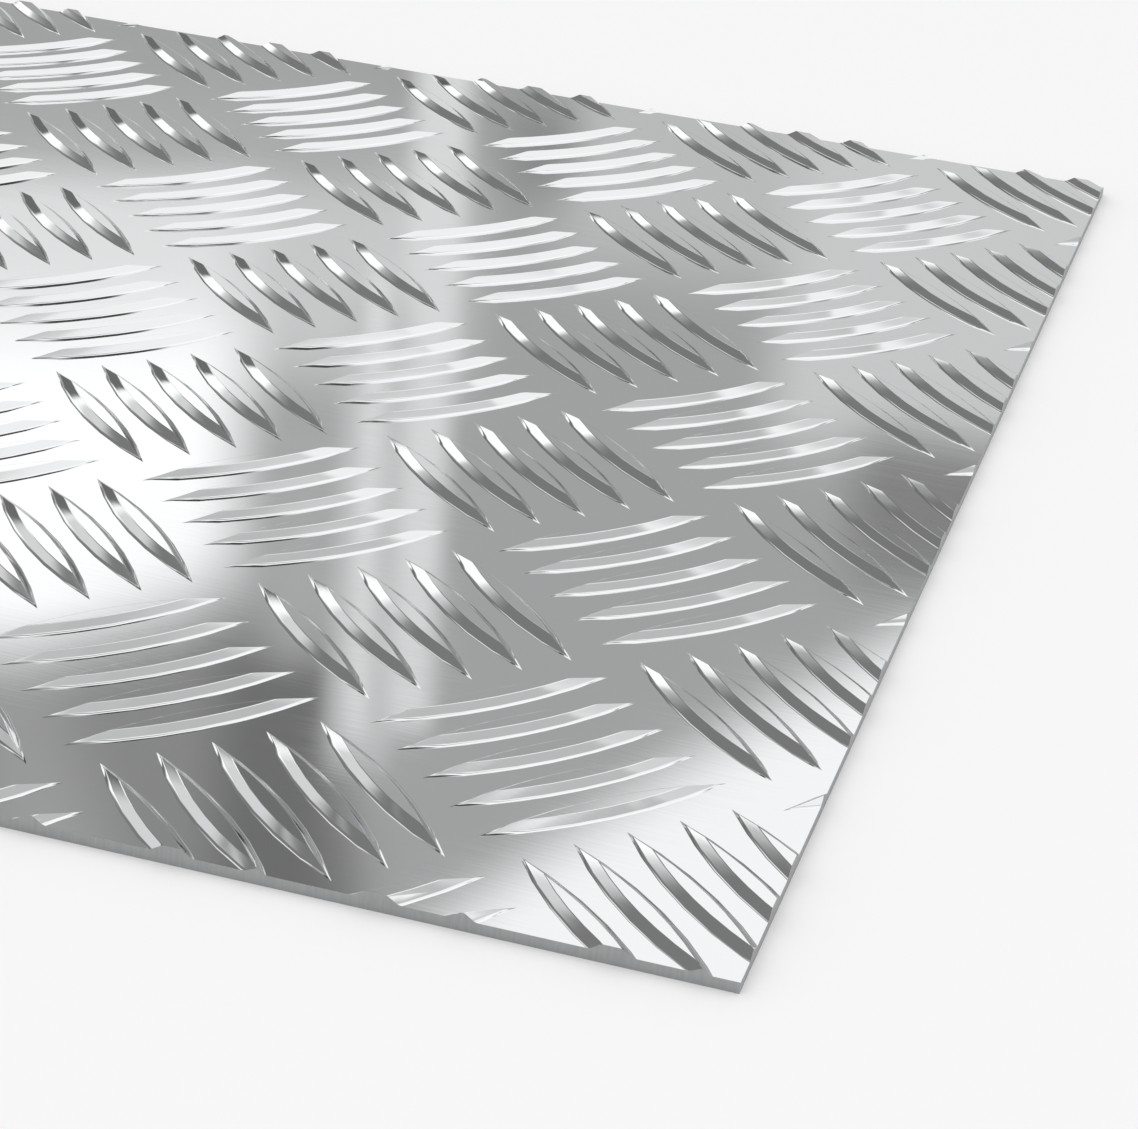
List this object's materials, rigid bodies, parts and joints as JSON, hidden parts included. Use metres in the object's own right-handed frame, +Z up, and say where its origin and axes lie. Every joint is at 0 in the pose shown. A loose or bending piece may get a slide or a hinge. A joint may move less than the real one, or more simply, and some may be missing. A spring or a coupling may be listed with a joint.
{
  "type": "embossed aluminium sheet",
  "caption": "Flat aluminium sheet with a plain underside and lens-shaped anti-slip bars raised in alternating diagonal blocks on top, sawn flush through the bars at its edges.",
  "frame": {"origin": "centre of the flat underside", "axes": "+X along the sheet's length, +Y along its width, +Z up from the plain underside to the barred side"},
  "size_m": [0.6096, 0.3048, 0.0026],
  "materials": {
    "aluminium": "bright mill finish, sawn edges"
  },
  "bodies": {
    "root": {"tread_sheet": "aluminium"}
  },
  "joints": []
}
